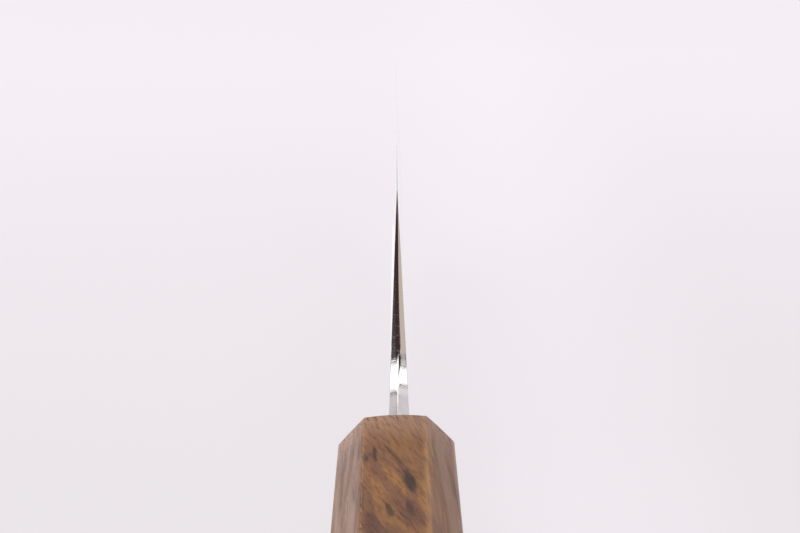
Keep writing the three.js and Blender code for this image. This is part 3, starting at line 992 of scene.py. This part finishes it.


# glowing and dark bands that paint the reflections in choil and neck: rows of elevation, azimuth
# from and to, brightness
paintedReflectionBands = {
    "leftBack": (
        (20, 134, 158, 0.04), (27, 134, 158, 0.04), (29.5, 134, 155, 0.08), (32, 134, 152, 0.17),
        (34, 134, 151, 0.36), (37, 134, 150, 0.75), (40, 134, 150, 1.1), (43, 134, 150, 1.2),
    ),
    "rightBack": (
        (16, 213, 245, 0.55), (19, 214.5, 245, 0.5), (23, 215.5, 245, 0.47), (27, 216, 245, 0.5),
        (31, 216, 245, 0.62), (33, 216.5, 245, 1.0), (35, 217, 245, 1.5), (36.5, 217.5, 245, 1.3),
        (38, 219, 245, 0.7), (39.5, 220.0, 245, 0.3), (41, 220.5, 245, 0.14), (43.5, 219, 245, 0.1),
        (46, 217, 245, 0.12),
    ),
    "ridgeBack": (
        (12, 160, 208, 0.05), (16, 160, 212, 0.05), (19, 160, 213.5, 0.05), (23, 160, 214.5, 0.05),
        (30.5, 161, 215, 0.05), (36, 163, 216, 0.05), (37.5, 163, 216.5, 0.05),
        (40.5, 164, 220, 0.05), (42, 164, 220.5, 0.05), (43.5, 165, 219, 0.05),
        (47, 166, 214, 0.07), (52, 167, 214, 0.1), (58, 166, 216, 0.2), (64, 165, 222, 0.3),
        (70, 165, 226, 0.5), (77, 165, 228, 0.9),
    ),
    "leftFront": (
        (34, 4, 42, 0.8), (35, 4, 42, 0.66), (36, 4, 42, 0.54), (40, 4, 42, 0.45),
        (42.5, 4, 44, 0.42), (44, 28, 46, 0.43), (47, 29.5, 46, 0.5), (50.5, 30, 46, 0.9),
    ),
    "leftSpot": (
        (41.5, 8, 29, 0.38), (43, 8, 29, 0.02), (50.5, 8, 29.5, 0.02),
    ),
    "leftWhite": (
        (50.5, 6, 64, 1.6), (66, 6, 64, 1.6),
    ),
    "leftRim": (
        (-8, 50, 118, 0.1), (20, 52, 122, 0.1), (40, 60, 125, 0.2),
    ),
    "rightLine": (
        (56, 291, 312, 0.25), (72, 290, 312, 0.25),
    ),
    "rightFront": (
        (29, 311, 343, 0.96), (45, 311, 343, 0.98), (60, 311, 333, 1.06), (72, 311, 333, 1.06),
    ),
    "ridgeFront": (
        (33, 352, 366, 1.1), (38, 351, 366, 1.1), (41, 347, 366, 1.1), (47, 341, 363, 1.12),
        (52, 333, 363, 1.25), (78, 333, 363, 1.25),
    ),
}
bandMiddle = np.array([-0.010, 0, 0.022])  # on the choil
bandReach = 0.5  # metres from there
bandTint = (1, 0.955, 0.97)
bandColumns = 9


# points on a sphere: each row at its elevation, with its azimuth changing evenly across
def bandPoints(rows):
    table = np.radians(np.array([row[:3] for row in rows]))
    e, a = table[:, :1], np.linspace(table[:, 1], table[:, 2], bandColumns, axis=1)
    aim = np.stack([np.cos(a) * np.cos(e), np.sin(a) * np.cos(e), np.sin(e) + 0 * a], axis=-1)
    return bandMiddle + bandReach * aim


black, warm, bright = (0.060, 0.039, 0.041), (0.745, 0.65, 0.575), (1.08, 1.04, 1.08)
# cards on the floor, and walls behind the handle, that paint reflections in the steel: colour,
# brightness, two rows of two points
paintedReflectionCards = {
    "darkCard": (black, 1, ((-0.60, -0.005, 0), (-0.60, 0.45, 0)),
                 ((-0.05, -0.005, 0), (-0.05, 0.20, 0))),
    "darkWall": (black, 1, ((-0.60, -0.02, 0), (-0.60, -0.02, 0.29)),
                 ((-0.60, 0.55, 0), (-0.60, 0.55, 0.29))),
    "warmCard": (warm, 1, ((-0.40, -0.012, 0), (-0.40, -0.40, 0)),
                 ((-0.04, -0.012, 0), (-0.04, -0.25, 0))),
    "warmWall": (warm, 1, ((-0.40, -0.10, 0), (-0.40, -0.10, 0.17)),
                 ((-0.40, -0.55, 0), (-0.40, -0.55, 0.17))),
    "brightLeft": (bright, 1.15, ((0.03, 0, 0), (0.03, 0.10, 0)),
                   ((0.17, 0, 0), (0.17, 0.10, 0))),
    "paleLeft": (bright, 1, ((0.17, 0, 0), (0.17, 0.10, 0)),
                 ((0.40, 0, 0), (0.40, 0.12, 0))),
    "brightRight": (bright, 0.98, ((0.03, 0, 0), (0.03, -0.10, 0)),
                    ((0.40, 0, 0), (0.40, -0.12, 0))),
}

paleFloor()
paleWorld()
softLamp("skyLamp", **lampForm)
for name, rows in paintedReflectionBands.items():
    paintedReflectionCard(name, bandPoints(rows), [[tint * row[3] for tint in bandTint] for row in rows])
for name, (colour, level, *rows) in paintedReflectionCards.items():
    paintedReflectionCard(name, rows, [[level * value for value in colour]] * 2)
print("stage set")


cameraView = {
    "place": (-0.35134, -0.00012, 0.14466),  # from the handle's front
    "yaw": -0.0366,
    "pitch": 15.69,
    "roll": -0.49,
    "lens": 108,
    "sensorWidth": 36,
}


# right, up and back directions from yaw, pitch and roll
def photoCamera():
    yaw, pitch, roll = (math.radians(cameraView[k]) for k in ("yaw", "pitch", "roll"))
    level = Vector((math.cos(yaw), math.sin(yaw), 0))
    ahead = level * math.cos(pitch) - Vector((0, 0, math.sin(pitch)))
    right = Vector((math.sin(yaw), -math.cos(yaw), 0))
    up = right.cross(ahead)
    across = right * math.cos(roll) + up * math.sin(roll)
    upright = up * math.cos(roll) - right * math.sin(roll)
    data = bpy.data.cameras.new("photoCamera")
    data.lens = cameraView["lens"]
    data.sensor_width = cameraView["sensorWidth"]
    data.clip_start, data.clip_end = 0.01, 100
    camera = bpy.data.objects.new("photoCamera", data)
    place = Vector(cameraView["place"]) + Vector((frontX, 0, 0))
    camera.matrix_world = standing(place, across, upright, -ahead)
    bpy.context.scene.collection.objects.link(camera)
    bpy.context.scene.camera = camera


photoCamera()
bpy.context.scene.view_settings.view_transform = "Standard"
print("camera set")
